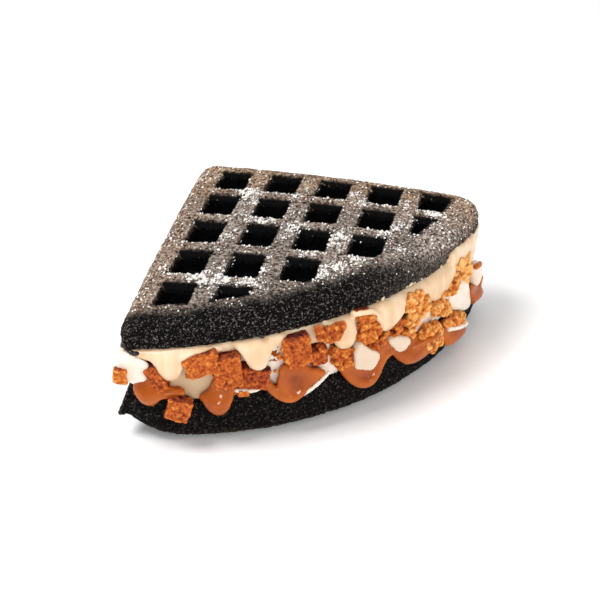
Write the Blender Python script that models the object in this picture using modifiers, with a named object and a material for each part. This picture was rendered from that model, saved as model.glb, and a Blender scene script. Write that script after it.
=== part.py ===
"""A quarter of a round cocoa waffle sandwich, filled with cream, caramel and biscuit pieces.

Metres, +Z up. The origin is on the lower waffle's underside, where two ribs cross. +X runs along
the straight back side and -Y along the straight left side. Places in the filling are polar: an
angle in degrees, turned from the back side towards the left side, a distance from the corner of
the quarter, and a height.
"""

import math

import bmesh
import bpy
from mathutils import Matrix, Vector, noise

MM = 0.001

# The round plate that is cut in quarters, and its grid of square pockets
PITCH = 17.0 * MM
CORNER = Vector((-2.34 * PITCH, 2.36 * PITCH, 0.0))
RADIUS = 96.9 * MM
BACK_SIDE = 1.1
LEFT_SIDE = 89.0
APEX_ROUND = 6.0 * MM
RIGHT_TIP_ROUND = 8.0 * MM
GRID = 5
FIRST_POCKET = Vector((-1.5 * PITCH, 1.5 * PITCH, 0.0))
POCKET_MOUTH = 11.4 * MM
POCKET_FLOOR = 9.4 * MM
POCKET_DEPTH = 6.4 * MM
POCKET_ROUND = 1.5 * MM
POCKET_FIELD = 87.4 * MM
LEAST_POCKET = 4.0 * MM
ARC_STEPS = 22
TIP_STEPS = 4
LEAST_ROUND = 1.0 * MM

# Each waffle's edge: broadly rounded on its baked face and barely on its inner face
UPPER_THICK = 9.2 * MM
LOWER_THICK = 15.5 * MM
BAKED_EDGE_WIDE = 6.0 * MM
BAKED_EDGE_TALL = 4.5 * MM
INNER_EDGE = 1.6 * MM
UPPER_LEFT_ROUND = (3.5 * MM, 3.5 * MM)
LOWER_LEFT_ROUND = (2.5 * MM, 24.0 * MM)
LOWER_FLARE = 4.0
FILLING_LEFT_ROUND = 5.0 * MM
INNER_STEPS = 2
BAKED_STEPS = 4

# The upper waffle lies on the filling, a little domed and twisted
TOP_LEVEL = 45.2 * MM
MIDDLE = 43.6 * MM
TWIST = 0.645
DOME = 0.712
SLOPE = 0.040
CUT_BACK = 2.8 * MM

# Touching pieces stay this far apart
GAP = 0.4 * MM

# The cream fills the space between the waffles, and the sauce and caramel lie above and below it
CREAM_INSET = 2.6 * MM
SAUCE_INSET = 0.0 * MM
SAUCE_THICK = 4.4 * MM
CARAMEL_INSET = 2.0 * MM
CARAMEL_THICK = 4.2 * MM
EDGE_WAVE = 1.2 * MM
WAVE_LENGTH = 14.0 * MM
SKIN = 1.3 * MM
FLATTEN = 7.0
DRIP_SWING = 0.6 * MM
DRIP_DEPTH = 2.4 * MM
DRIP_STEPS = 5

# Sauce drips below the upper waffle: angle, distance, height and width of the tip, width at the top
SAUCE_DRIPS = (
    (85.5, 97.0, 28.0, 9.0, 13.0),
    (80.8, 97.2, 19.5, 6.0, 19.0),
    (65.8, 97.2, 24.5, 5.5, 11.0),
    (49.7, 97.2, 24.5, 5.0, 8.0),
    (39.8, 97.0, 25.5, 5.0, 12.0),
    (32.5, 96.5, 30.0, 7.0, 12.0),
    (25.5, 96.0, 27.5, 7.0, 12.0),
    (17.0, 95.2, 29.5, 8.0, 13.0),
    (9.0, 94.4, 28.0, 7.0, 12.0),
)
# Caramel drips over the lower waffle's rim, in the same order
CARAMEL_DRIPS = (
    (85.0, 97.2, 12.0, 7.0, 12.0),
    (72.0, 97.2, 9.0, 6.0, 11.0),
    (59.0, 97.2, 13.0, 8.0, 19.0),
    (45.5, 97.4, 7.5, 9.0, 16.0),
    (34.8, 97.4, 8.0, 8.0, 14.0),
    (20.5, 97.2, 3.0, 8.5, 6.0),
    (8.5, 96.0, 8.0, 4.0, 7.0),
)
# Cream that swells out between the pieces: angle, distance, height, width, height of the swell
CREAM_LOBES = (
    (89.5, 94.5, 28.0, 9.0, 10.0),
    (76.0, 93.5, 20.5, 14.0, 11.0),
    (67.0, 94.5, 18.0, 9.0, 5.0),
    (62.5, 93.5, 24.0, 6.0, 12.0),
    (52.0, 94.5, 18.5, 9.0, 5.0),
    (45.5, 95.0, 18.5, 8.0, 7.0),
    (37.5, 95.0, 18.5, 8.0, 6.0),
    (30.0, 94.0, 23.0, 8.0, 6.0),
    (21.5, 96.0, 18.0, 9.0, 9.0),
    (15.5, 96.4, 15.0, 9.0, 12.0),
    (6.0, 96.4, 16.0, 8.0, 14.0),
)
# Biscuit pieces along the round edge: angle, distance, height, width, tallness, depth, roll
BISCUITS = (
    (88.8, 98.0, 24.4, 5.0, 5.5, 4.5, 0.0),
    (83.0, 96.5, 23.4, 5.5, 10.0, 6.0, -30.0),
    (76.8, 95.3, 28.2, 9.0, 7.0, 8.0, 18.0),
    (73.4, 95.3, 31.4, 6.5, 6.5, 8.0, 15.0),
    (70.8, 95.5, 25.4, 8.0, 11.5, 8.0, 5.0),
    (66.0, 95.3, 21.0, 8.5, 6.5, 8.0, 0.0),
    (79.6, 99.2, 14.2, 7.5, 9.0, 4.4, -18.0),
    (58.5, 95.3, 28.7, 8.0, 11.5, 8.5, 5.0),
    (52.6, 95.2, 32.0, 9.0, 6.0, 8.0, 8.0),
    (54.4, 95.2, 25.4, 5.5, 6.0, 8.0, 0.0),
    (49.6, 95.2, 21.8, 8.5, 8.0, 8.0, -10.0),
    (43.8, 95.6, 28.2, 7.4, 10.4, 7.0, 8.0),
    (42.0, 95.0, 20.4, 7.5, 5.4, 7.0, 15.0),
    (37.9, 95.0, 23.2, 6.5, 6.8, 7.5, -15.0),
    (32.0, 95.5, 28.2, 8.4, 12.5, 8.0, 8.0),
    (35.0, 95.0, 19.6, 5.0, 4.6, 7.0, 20.0),
    (26.4, 95.3, 21.8, 7.0, 6.0, 7.5, 0.0),
    (28.6, 98.4, 13.2, 7.2, 11.5, 5.8, 6.0),
    (21.0, 98.4, 12.8, 8.5, 6.4, 5.6, 0.0),
    (15.2, 95.8, 29.0, 7.2, 11.0, 7.5, 0.0),
    (21.2, 96.3, 25.2, 4.0, 9.5, 5.5, -35.0),
    (45.9, 98.6, 36.4, 5.5, 2.6, 3.0, 0.0),
    (62.4, 94.5, 29.0, 3.5, 6.0, 5.0, 0.0),
)
# The straight sides have the same filling: share of the side, height, width, tallness, roll
SIDE_BISCUITS = (
    (0.18, 26.0, 9.0, 10.0, 12.0),
    (0.36, 21.5, 10.5, 8.5, -15.0),
    (0.56, 28.0, 8.5, 9.0, 5.0),
    (0.76, 23.0, 9.5, 10.0, 25.0),
)
SIDE_DEPTH = 8.0 * MM
SIDE_SINK = 1.6 * MM

COLOURS = {
    "waffle": (0.020, 0.017, 0.015, 0.85),
    "cream": (0.87, 0.83, 0.77, 0.40),
    "sauce": (0.90, 0.75, 0.55, 0.25),
    "caramel": (0.50, 0.16, 0.035, 0.25),
    "biscuit": (0.52, 0.16, 0.035, 0.80),
}


def clear_scene():
    for obj in list(bpy.data.objects):
        bpy.data.objects.remove(obj, do_unlink=True)


def new_collection(name):
    collection = bpy.data.collections.new(name)
    bpy.context.scene.collection.children.link(collection)
    return collection


def material(name):
    """One Principled material: a linear colour and a roughness."""
    if name in bpy.data.materials:
        return bpy.data.materials[name]
    red, green, blue, roughness = COLOURS[name]
    made = bpy.data.materials.new(name)
    made.use_nodes = True
    shader = made.node_tree.nodes["Principled BSDF"]
    shader.inputs["Base Color"].default_value = (red, green, blue, 1.0)
    shader.inputs["Roughness"].default_value = roughness
    shader.inputs["Metallic"].default_value = 0.0
    return made


def add_object(name, mesh, collection):
    obj = bpy.data.objects.new(name, mesh)
    collection.objects.link(obj)
    return obj


def add_part(name, mesh, look):
    mesh.materials.clear()
    mesh.materials.append(material(look))
    return add_object(name, mesh, PARTS)


def add_cutter(name, mesh):
    obj = add_object(name, mesh, CUTTERS)
    obj.hide_render = True
    obj.display_type = "WIRE"
    return obj


def mesh_of(bm, name):
    bm.normal_update()
    bmesh.ops.recalc_face_normals(bm, faces=bm.faces)
    mesh = bpy.data.meshes.new(name)
    bm.to_mesh(mesh)
    bm.free()
    return mesh


def baked(obj):
    """The object's mesh with its modifiers carried out."""
    graph = bpy.context.evaluated_depsgraph_get()
    return bpy.data.meshes.new_from_object(obj.evaluated_get(graph), depsgraph=graph)


def polar(angle, distance, height=0.0):
    turn = math.radians(angle)
    return CORNER + Vector((distance * math.cos(turn), -distance * math.sin(turn), height))


def facing(angle):
    """Turns local +Y to point away from the corner, at this angle, with +X along the edge."""
    return Matrix.Rotation(math.radians(-90.0 - angle), 4, "Z") @ Matrix.Rotation(math.pi, 4, "Z")


def sag(x, y):
    """How far the upper waffle lies above its level: it is domed, twisted and sloping."""
    along = x - CORNER.x
    across = CORNER.y - y
    twisted = TWIST * (along - CUT_BACK) * (across - CUT_BACK)
    domed = DOME * ((along - MIDDLE) ** 2 + (across - MIDDLE) ** 2)
    sloping = SLOPE * (along + across - 2 * MIDDLE)
    return twisted - domed - sloping


def upper_place(point):
    lifted = TOP_LEVEL - UPPER_THICK + sag(point.x, point.y)
    return Vector((point.x, point.y, point.z + lifted))


def lower_place(point):
    """The lower waffle lies with its pockets down."""
    return Vector((point.x, point.y, LOWER_THICK - point.z))


def quarter_outline(inset, left_round, left_side=LEFT_SIDE):
    """The quarter's outline seen from above, moved in by the inset, with its corners rounded."""
    outer = RADIUS - inset
    right = max(RIGHT_TIP_ROUND - inset, LEAST_ROUND)
    left = max(left_round - inset, LEAST_ROUND)
    apex = max(APEX_ROUND - inset, LEAST_ROUND)
    right_turn = BACK_SIDE + math.degrees(math.asin((inset + right) / (outer - right)))
    left_turn = left_side - math.degrees(math.asin((inset + left) / (outer - left)))
    half_span = math.radians(left_side - BACK_SIDE) / 2
    apex_distance = (inset + apex) / math.sin(half_span)
    middle = (BACK_SIDE + left_side) / 2
    arcs = (
        (polar(right_turn, outer - right), right, BACK_SIDE - 90.0, right_turn, TIP_STEPS),
        (CORNER, outer, right_turn, left_turn, ARC_STEPS),
        (polar(left_turn, outer - left), left, left_turn, left_side + 90.0, TIP_STEPS),
        (polar(middle, apex_distance), apex, left_side + 90.0, BACK_SIDE + 270.0, TIP_STEPS),
    )
    points = []
    for centre, radius, start, end, steps in arcs:
        for step in range(steps + 1):
            turn = math.radians(start + (end - start) * step / steps)
            point = centre + radius * Vector((math.cos(turn), -math.sin(turn), 0.0))
            if not points or (point - points[-1]).length > 0.01 * MM:
                points.append(point)
    return points


def slab_bmesh(outline, low, high):
    """A flat outline, filled and raised from one height to another."""
    curve = bpy.data.curves.new("outline", "CURVE")
    curve.dimensions = "2D"
    curve.fill_mode = "BOTH"
    curve.extrude = (high - low) / 2
    spline = curve.splines.new("POLY")
    spline.points.add(len(outline) - 1)
    for point, place in zip(spline.points, outline):
        point.co = (place.x, place.y, 0.0, 1.0)
    spline.use_cyclic_u = True
    obj = bpy.data.objects.new("outline", curve)
    bpy.context.scene.collection.objects.link(obj)
    bm = bmesh.new()
    bm.from_mesh(baked(obj))
    bpy.data.objects.remove(obj, do_unlink=True)
    bmesh.ops.translate(bm, verts=bm.verts, vec=(0.0, 0.0, (low + high) / 2))
    bmesh.ops.remove_doubles(bm, verts=bm.verts, dist=0.01 * MM)
    bmesh.ops.dissolve_limit(bm, verts=bm.verts, edges=bm.edges, angle_limit=math.radians(0.5))
    return bm


def edge_profile(thick):
    """The plate's edge from its inner face up to its baked face: inset and height at each ring."""
    rings = []
    for step in range(INNER_STEPS + 1):
        turn = math.radians(90.0 * step / INNER_STEPS)
        rings.append((INNER_EDGE * (1 - math.sin(turn)), INNER_EDGE * (1 - math.cos(turn))))
    for step in range(BAKED_STEPS + 1):
        turn = math.radians(90.0 * step / BAKED_STEPS)
        height = thick - BAKED_EDGE_TALL * (1 - math.sin(turn))
        rings.append((BAKED_EDGE_WIDE * (1 - math.cos(turn)), height))
    return rings


def cut_on_ribs(bm):
    """Splits the faces along the middle of each rib, so that the slab can follow a dome."""
    for line in range(-2, GRID - 1):
        for axis in range(2):
            normal = Vector((0.0, 0.0, 0.0))
            normal[axis] = 1.0
            sign = 1.0 if axis == 0 else -1.0
            everything = bm.verts[:] + bm.edges[:] + bm.faces[:]
            bmesh.ops.bisect_plane(
                bm, geom=everything, dist=0.01 * MM, plane_co=normal * sign * line * PITCH, plane_no=normal
            )


def plate_mesh(name, place, thick, left_round, flare):
    """A waffle without its pockets, lofted through its outlines and set in its place."""
    bm = bmesh.new()
    rings = []
    for inset, height in edge_profile(thick):
        share = height / thick
        rounding = left_round[0] + (left_round[1] - left_round[0]) * share**3
        outline = quarter_outline(inset, rounding, LEFT_SIDE + flare * share)
        rings.append([bm.verts.new((point.x, point.y, height)) for point in outline])
    bm.faces.new(rings[0])
    bm.faces.new(rings[-1])
    for below, above in zip(rings, rings[1:]):
        for index in range(len(below)):
            bm.faces.new((below[index - 1], below[index], above[index], above[index - 1]))
    if place is upper_place:
        cut_on_ribs(bm)
        bmesh.ops.triangulate(bm, faces=bm.faces)
    for vert in bm.verts:
        vert.co = place(vert.co)
    return mesh_of(bm, name)


def pocket_places():
    """The grid's pockets that lie in the round field, with those that its edge cuts."""
    for row in range(GRID):
        for column in range(GRID):
            centre = FIRST_POCKET + Vector((column * PITCH, -row * PITCH, 0.0))
            nearest = centre - CORNER - Vector((POCKET_MOUTH, -POCKET_MOUTH, 0.0)) / 2
            if nearest.length < POCKET_FIELD - LEAST_POCKET:
                yield centre


def pocket_cutter(name, place, thick):
    """Every pocket of one waffle: tapered square wells, ended by the round field."""
    bm = bmesh.new()
    above = 2.0 * MM
    tall = POCKET_DEPTH + above
    for centre in pocket_places():
        middle = centre + Vector((0.0, 0.0, thick - POCKET_DEPTH + tall / 2))
        size = Matrix.Diagonal((POCKET_MOUTH, POCKET_MOUTH, tall, 1.0))
        verts = bmesh.ops.create_cube(bm, size=1.0, matrix=Matrix.Translation(middle) @ size)["verts"]
        for vert in verts:
            if vert.co.z < middle.z:
                aside = (vert.co - middle) * (POCKET_FLOOR / POCKET_MOUTH)
                vert.co.x = middle.x + aside.x
                vert.co.y = middle.y + aside.y
        upright = {edge for vert in verts for edge in vert.link_edges}
        upright = [edge for edge in upright if abs(edge.verts[0].co.z - edge.verts[1].co.z) > above]
        bmesh.ops.bevel(bm, geom=upright, offset=POCKET_ROUND, segments=2, profile=0.5, affect="EDGES")
    for vert in bm.verts:
        vert.co = place(vert.co)
    pockets = add_cutter(name, mesh_of(bm, name))

    bm = bmesh.new()
    taper = (POCKET_MOUTH - POCKET_FLOOR) / 2
    middle = CORNER + Vector((0.0, 0.0, thick))
    bmesh.ops.create_cone(
        bm, cap_ends=True, segments=96, radius1=POCKET_FIELD - taper, radius2=POCKET_FIELD + taper,
        depth=2 * POCKET_DEPTH + 2 * above, matrix=Matrix.Translation(middle),
    )
    for vert in bm.verts:
        vert.co = place(vert.co)
    field = add_cutter(name + "_field", mesh_of(bm, name + "_field"))
    add_boolean(pockets, "within the field", field, "INTERSECT")
    return pockets


def add_boolean(obj, label, cutter, operation="DIFFERENCE"):
    """Joins or cuts with one object, or with all the objects of a collection."""
    boolean = obj.modifiers.new(label, "BOOLEAN")
    boolean.operation = operation
    if isinstance(cutter, bpy.types.Collection):
        boolean.operand_type = "COLLECTION"
        boolean.collection = cutter
    else:
        boolean.object = cutter
    return boolean


def clearance(obj):
    """The same form, swollen by the gap: what lies against the object is cut with it."""
    swollen = add_cutter(obj.name + "_clearance", obj.data)
    displace = swollen.modifiers.new("gap", "DISPLACE")
    displace.strength = GAP
    displace.mid_level = 0.0
    return swollen


def waffle(name, place, thick, left_round, flare):
    """A waffle with its pockets, and the swollen plate that the filling is cut with."""
    plate = add_cutter(name + "_plate", plate_mesh(name, place, thick, left_round, flare))
    room = clearance(plate)
    obj = add_part(name, plate.data.copy(), "waffle")
    add_boolean(obj, "pockets", pocket_cutter(name + "_pockets", place, thick))
    bpy.data.objects.remove(plate, do_unlink=True)
    return room


def biscuit_mesh(name, size, seed):
    """A rough block: a ball pressed towards a box, with dents and bumps."""
    bm = bmesh.new()
    bmesh.ops.create_icosphere(bm, subdivisions=2, radius=1.0)
    start = Vector((seed * 3.7, seed * 1.3, seed * 2.1))
    for vert in bm.verts:
        side = vert.co.normalized()
        boxed = sum(abs(value) ** 5 for value in side) ** (-1 / 5)
        rough = 1.0 + 0.16 * noise.noise(side * 1.6 + start) - 0.03
        vert.co = Vector(value * half for value, half in zip(side * boxed * rough, size))
    return mesh_of(bm, name)


def add_biscuit(number, place, turn, roll, size):
    name = f"biscuit_{number:02d}"
    mesh = biscuit_mesh(name, [length / 2 for length in size], number)
    obj = add_part(name, mesh, "biscuit")
    mesh.transform(Matrix.Translation(place) @ turn @ Matrix.Rotation(math.radians(roll), 4, "Y"))
    return obj


def biscuits():
    """All the biscuit pieces: those along the round edge, then those of the two straight sides."""
    made = []
    for angle, distance, height, wide, tall, deep, roll in BISCUITS:
        place = polar(angle, distance * MM, height * MM)
        size = (wide * MM, deep * MM, tall * MM)
        made.append(add_biscuit(len(made) + 1, place, facing(angle), roll, size))
    for side, outward in ((BACK_SIDE, BACK_SIDE - 90.0), (LEFT_SIDE, LEFT_SIDE + 90.0)):
        away = Vector((math.cos(math.radians(outward)), -math.sin(math.radians(outward)), 0.0))
        for share, height, wide, tall, roll in SIDE_BISCUITS:
            share = share if side == BACK_SIDE else 1.0 - share
            place = polar(side, share * RADIUS, height * MM) - away * SIDE_SINK
            size = (wide * MM, SIDE_DEPTH, tall * MM)
            made.append(add_biscuit(len(made) + 1, place, facing(outward), roll, size))
    return made


def reach(obj):
    """The middle of the object and the radius of the ball round it."""
    corners = [Vector(corner) for corner in obj.bound_box]
    middle = sum(corners, Vector()) / len(corners)
    return middle, max((corner - middle).length for corner in corners)


def keep_apart(pieces, plates):
    """Cuts each piece with the plates and with the earlier pieces that it comes near."""
    rooms = []
    for piece in pieces:
        middle, size = reach(piece)
        for room in plates:
            add_boolean(piece, "clear of a waffle", room)
        for other_middle, other_size, room in rooms:
            if (middle - other_middle).length < 0.85 * (size + other_size):
                add_boolean(piece, "clear of a neighbour", room)
        rooms.append((middle, size, clearance(piece)))
    return [room for _, _, room in rooms]


def wavy(outline, seed):
    """The outline with slow waves, as a spread edge has."""
    waved = []
    for point in outline:
        swing = noise.noise(point / WAVE_LENGTH + Vector((0.0, 0.0, seed)))
        outward = (point - polar((BACK_SIDE + LEFT_SIDE) / 2, RADIUS / 2)).normalized()
        waved.append(point + outward * swing * EDGE_WAVE)
    return waved


def finer(outline, step):
    """The outline with points added on its long straight runs."""
    points = []
    for here, after in zip(outline, outline[1:] + outline[:1]):
        count = max(1, round((after - here).length / step))
        points += [here.lerp(after, index / count) for index in range(count)]
    return points


def layer(inset, low, high, seed):
    return slab_bmesh(wavy(finer(quarter_outline(inset, FILLING_LEFT_ROUND), 5.0 * MM), seed), low, high)


def add_ball(bm, place, turn, size):
    shape = Matrix.Translation(place) @ turn @ Matrix.Diagonal((*[length / 2 for length in size], 1.0))
    bmesh.ops.create_icosphere(bm, subdivisions=3, radius=1.0, matrix=shape)


def add_drip(bm, angle, distance, top, tip, tip_width, top_width):
    """A drip that runs down the edge: flat balls, wide at the top and narrow at the tip."""
    for step in range(DRIP_STEPS + 1):
        share = step / DRIP_STEPS
        wide = top_width + (tip_width - top_width) * share ** 0.6
        height = top + (tip + tip_width / 2 - top) * share
        tall = max(tip_width, (top - tip) / DRIP_STEPS * 2.2)
        place = polar(angle, distance + DRIP_SWING * share, height)
        add_ball(bm, place, facing(angle), (wide, 2 * DRIP_DEPTH, tall))


def soft_mesh(name, bm, share):
    """One smooth skin round all the overlapping shapes."""
    obj = add_cutter(name + "_rough", mesh_of(bm, name))
    remesh = obj.modifiers.new("one skin", "REMESH")
    remesh.mode = "VOXEL"
    remesh.voxel_size = SKIN
    smooth = obj.modifiers.new("soft", "SMOOTH")
    smooth.factor = 0.5
    smooth.iterations = 5
    decimate = obj.modifiers.new("few faces", "DECIMATE")
    decimate.ratio = share
    mesh = baked(obj)
    bpy.data.objects.remove(obj, do_unlink=True)
    return mesh


def sauce_mesh():
    """Sauce under the upper waffle, with a drip wherever it has run over the edge."""
    under = TOP_LEVEL - UPPER_THICK
    bm = layer(SAUCE_INSET, under - SAUCE_THICK, under + INNER_EDGE, 1.5)
    for vert in bm.verts:
        vert.co.z += sag(vert.co.x, vert.co.y)
    for angle, distance, tip, tip_width, top_width in SAUCE_DRIPS:
        edge = polar(angle, RADIUS)
        top = under + sag(edge.x, edge.y) - SAUCE_THICK / 3
        add_drip(bm, angle, distance * MM, top, tip * MM, tip_width * MM, top_width * MM)
    return soft_mesh("cream_sauce", bm, 0.05)


def caramel_mesh():
    """Caramel on the lower waffle, with drips down its rim."""
    bm = layer(CARAMEL_INSET, LOWER_THICK - INNER_EDGE, LOWER_THICK + CARAMEL_THICK, 5.5)
    top = LOWER_THICK + CARAMEL_THICK * 0.6
    for angle, distance, tip, tip_width, top_width in CARAMEL_DRIPS:
        add_drip(bm, angle, distance * MM, top, tip * MM, tip_width * MM, top_width * MM)
    return soft_mesh("caramel", bm, 0.05)


def cream_mesh():
    """White cream that fills the middle and swells out between the biscuit pieces."""
    bm = layer(CREAM_INSET, LOWER_THICK - INNER_EDGE, TOP_LEVEL - UPPER_THICK, 9.5)
    for angle, distance, height, wide, tall in CREAM_LOBES:
        place = polar(angle, distance * MM, height * MM)
        add_ball(bm, place, facing(angle), (wide * MM, 2 * 4.0 * MM, tall * MM))
    return soft_mesh("white_cream", bm, 0.03)


def largest_body(mesh):
    """Drops the loose scraps that cutting leaves."""
    bm = bmesh.new()
    bm.from_mesh(mesh)
    left = set(bm.faces)
    bodies = []
    while left:
        found = {left.pop()}
        border = list(found)
        while border:
            for edge in border.pop().edges:
                for face in edge.link_faces:
                    if face in left and len(edge.link_faces) == 2:
                        left.remove(face)
                        found.add(face)
                        border.append(face)
        bodies.append(found)
    kept = max(bodies, key=len)
    bmesh.ops.delete(bm, geom=[face for face in bm.faces if face not in kept], context="FACES")
    bmesh.ops.dissolve_limit(bm, verts=bm.verts, edges=bm.edges, angle_limit=math.radians(FLATTEN))
    bmesh.ops.triangulate(bm, faces=bm.faces)
    bm.to_mesh(mesh)
    bm.free()
    return mesh


def add_soft_part(name, mesh, look, cutters):
    """A layer of the filling, cut clear of what it touches."""
    obj = add_part(name, mesh, look)
    room = clearance(obj)
    room.data = mesh.copy()
    for cutter in cutters:
        add_boolean(obj, "clear of " + cutter.name, cutter)
    cut = largest_body(baked(obj))
    obj.modifiers.clear()
    obj.data = cut
    return room


clear_scene()
PARTS = new_collection("filled_cocoa_waffle_quarter")
CUTTERS = new_collection("cutters")

upper_room = waffle("waffle_top", upper_place, UPPER_THICK, UPPER_LEFT_ROUND, 0.0)
lower_room = waffle("waffle_bottom", lower_place, LOWER_THICK, LOWER_LEFT_ROUND, LOWER_FLARE)
pieces = biscuits()
BISCUIT_ROOMS = new_collection("biscuit_clearances")
for piece_room in keep_apart(pieces, (upper_room, lower_room)):
    BISCUIT_ROOMS.objects.link(piece_room)
    CUTTERS.objects.unlink(piece_room)

sauce_room = add_soft_part("cream_sauce", sauce_mesh(), "sauce", (upper_room, BISCUIT_ROOMS))
around = (lower_room, BISCUIT_ROOMS, sauce_room)
caramel_room = add_soft_part("caramel", caramel_mesh(), "caramel", around)
around = (upper_room, lower_room, sauce_room, caramel_room, BISCUIT_ROOMS)
cream_room = add_soft_part("white_cream", cream_mesh(), "cream", around)
bpy.data.objects.remove(cream_room, do_unlink=True)
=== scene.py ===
"""The looks of a quarter of a round cocoa waffle sandwich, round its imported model.

Metres, +Z up, in the frame of the model. Places in the filling are polar: an angle in degrees,
turned from the straight back side towards the straight left side, a distance from the corner of
the quarter in millimetres, and a height in millimetres.
"""

from functools import partial
import math

import bmesh
import bpy
import numpy as np
from mathutils import Matrix, Vector, noise


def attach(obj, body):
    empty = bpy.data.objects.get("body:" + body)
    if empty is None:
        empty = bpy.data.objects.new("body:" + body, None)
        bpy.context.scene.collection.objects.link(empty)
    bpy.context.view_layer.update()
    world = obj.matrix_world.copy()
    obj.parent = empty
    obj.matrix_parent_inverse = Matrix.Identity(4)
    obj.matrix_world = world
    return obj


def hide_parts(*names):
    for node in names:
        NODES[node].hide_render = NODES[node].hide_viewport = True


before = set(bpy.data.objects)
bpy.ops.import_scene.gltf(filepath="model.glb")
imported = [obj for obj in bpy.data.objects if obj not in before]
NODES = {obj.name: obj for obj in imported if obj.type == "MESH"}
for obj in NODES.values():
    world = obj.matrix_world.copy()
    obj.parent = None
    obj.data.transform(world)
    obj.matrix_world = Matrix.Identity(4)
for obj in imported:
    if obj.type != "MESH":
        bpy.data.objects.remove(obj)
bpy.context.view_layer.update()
MM = 0.001

# Lengths are in millimetres here, apart from those of the camera's place, the lamps and the floor,
# which are in metres.

# The plate: a round waffle cut in quarters, with square pockets. They reach as far as its field, and
# one that the edge of the field would leave narrower than the least isn't there.
CORNER = (-39.78, 40.12)
PITCH = 17.0
FIELD = 87.4
LEAST_POCKET = 4.0
# A pocket: the middle of the first one, half its width, and a depth found nowhere but in a pocket
FIRST_POCKET = (-25.5, 25.5)
POCKET_HALF = 5.7
POCKET_DEEP = 4.0
# A worn rib: how far from its pocket's middle it starts, how wide it rounds off, and how deep
RIB_START = 5.2
RIB_ROUND = 3.2
RIB_DROP = 1.6

# The upper waffle: the level of its top, its thickness, and its round edge's distance from the corner
TOP_LEVEL = 45.2
UPPER_THICK = 9.2
UPPER_EDGE = 96.0
# How it warped as it cooled: the middle of the dome and the start of the twist, both from the
# corner, the twist and the dome in thousandths, and the slope
MIDDLE = 43.6
CUT_BACK = 2.8
TWIST = 0.645
DOME = 0.712
SLOPE = 0.040

# How far in the lower waffle's left tip is drawn at its foot
TIP_DRAWN_IN = 5.0

# How far from the corner the pale dust reaches, and how much further it does at the right
DUST_REACH = 89.8
DUST_WIDER = 9.0
# Loose grains of sugar: number, least and greatest size, flatness, share of a turn that they tilt
# by, share of their size that they stand out by, and random seed
GRAINS = 4200
GRAIN_SIZES = (0.22, 0.95)
GRAIN_FLATNESS = 0.5
GRAIN_TILT = 0.12
GRAIN_OUT = 0.12
GRAIN_SEED = 11

# How finely each food is modelled, and how close together corners are merged
WAFFLE_SKIN = 0.52
SAUCE_SKIN = 0.5
BISCUIT_SKIN = 0.34
CRUMB_SKIN = 0.22
WELD = 0.005

# Poured sauce: the step of its faces, its depth, and how far it spreads past its outline. The whole
# of a soft filling then swells, and keeps this share of its faces.
POOL_STEP = 0.7
POOL_DEPTH = 3.4
POOL_SPREAD = 0.5
FILLING_SWELL = 0.4
FILLING_KEPT = 0.5
# Where along its height a hanging drop is thickest, and over how much of it
DROP_AT = 0.3
DROP_WIDE = 0.26
# Sauce under the upper waffle: how far back its top draws in, over which height, with what overlap
HUNG_BACK = 94.6
HUNG_FADE = 3.2
HUNG_OVERLAP = 0.3
# The straight left side, past which no filling stands out near the left tip
SIDE_REACH = -38.2
LEFT_TIP = -34.0

# Broken biscuit: how uneven a chip is, how many stand out of a block and out of a piece on a
# straight side, and the seed of the first loose crumb
UNEVEN = 0.18
BLOCK_CHIPS = 7
SIDE_CHIPS = 5
CRUMB_SEED = 40

# The camera: its place, the way behind it and the way to its right
CAMERA_PLACE = (0.08198, -0.33254, 0.23925)
CAMERA_BACK = (0.19524, -0.81695, 0.54266)
CAMERA_RIGHT = (0.97632, 0.21445, -0.02842)
LENS = 75.0
SENSOR = 36.0

# Soft studio light: an even sky, and lamps with their name, place, aim, size and power
SKY = 0.62
LAMPS = (
    ("key", (-0.35, -0.15, 0.75), (0.0, 0.0, 0.02), 0.35, 5.2),
    ("fill", (0.85, -0.45, 0.4), (0.0, -0.02, 0.02), 0.4, 2.7),
    ("glint", (0.2, -0.64, 0.16), (-0.005, -0.05, 0.015), 0.09, 0.7),
)
FLOOR_SIZE = 6.0


# Where dusting sugar has gathered on the top face: its place along X and Y, reach and thickness
POWDER = (
    (-18, 18, 3.2, 1), (-16, 13, 2.4, 0.7), (-9, 1, 3.4, 0.8), (-14, 2, 2.2, 0.6), (2, -2, 3.6, 0.9),
    (0, -8, 2.2, 0.5), (16, 24, 2.6, 0.6), (16, -4, 3.4, 0.7), (15, -9, 2.6, 0.6), (20, 19, 2.6, 0.6),
    (-18, -10, 2.2, 0.6), (-20, -33, 3.6, 0.9), (-13, -33, 3.6, 0.9), (-5, -33, 3.4, 0.8),
    (-3, -26, 2.4, 0.8), (0, -36, 2.2, 0.5), (16, -27, 4, 0.8), (19, -22, 3.2, 0.7), (24, -16, 3, 0.6),
    (33, 7, 3, 0.5), (33, 22, 3, 0.5), (43, 18, 3.4, 0.8), (-2, 18, 2.6, 0.4), (-2, 31, 2.4, 0.4),
    (30, 0, 3.2, 0.5), (8, -16, 3, 0.5), (-32, -30, 2.6, 0.4), (36, -8, 3, 0.3), (22, -24, 3.2, 0.6),
    (-7, -39, 3, 0.5),
)

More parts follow.
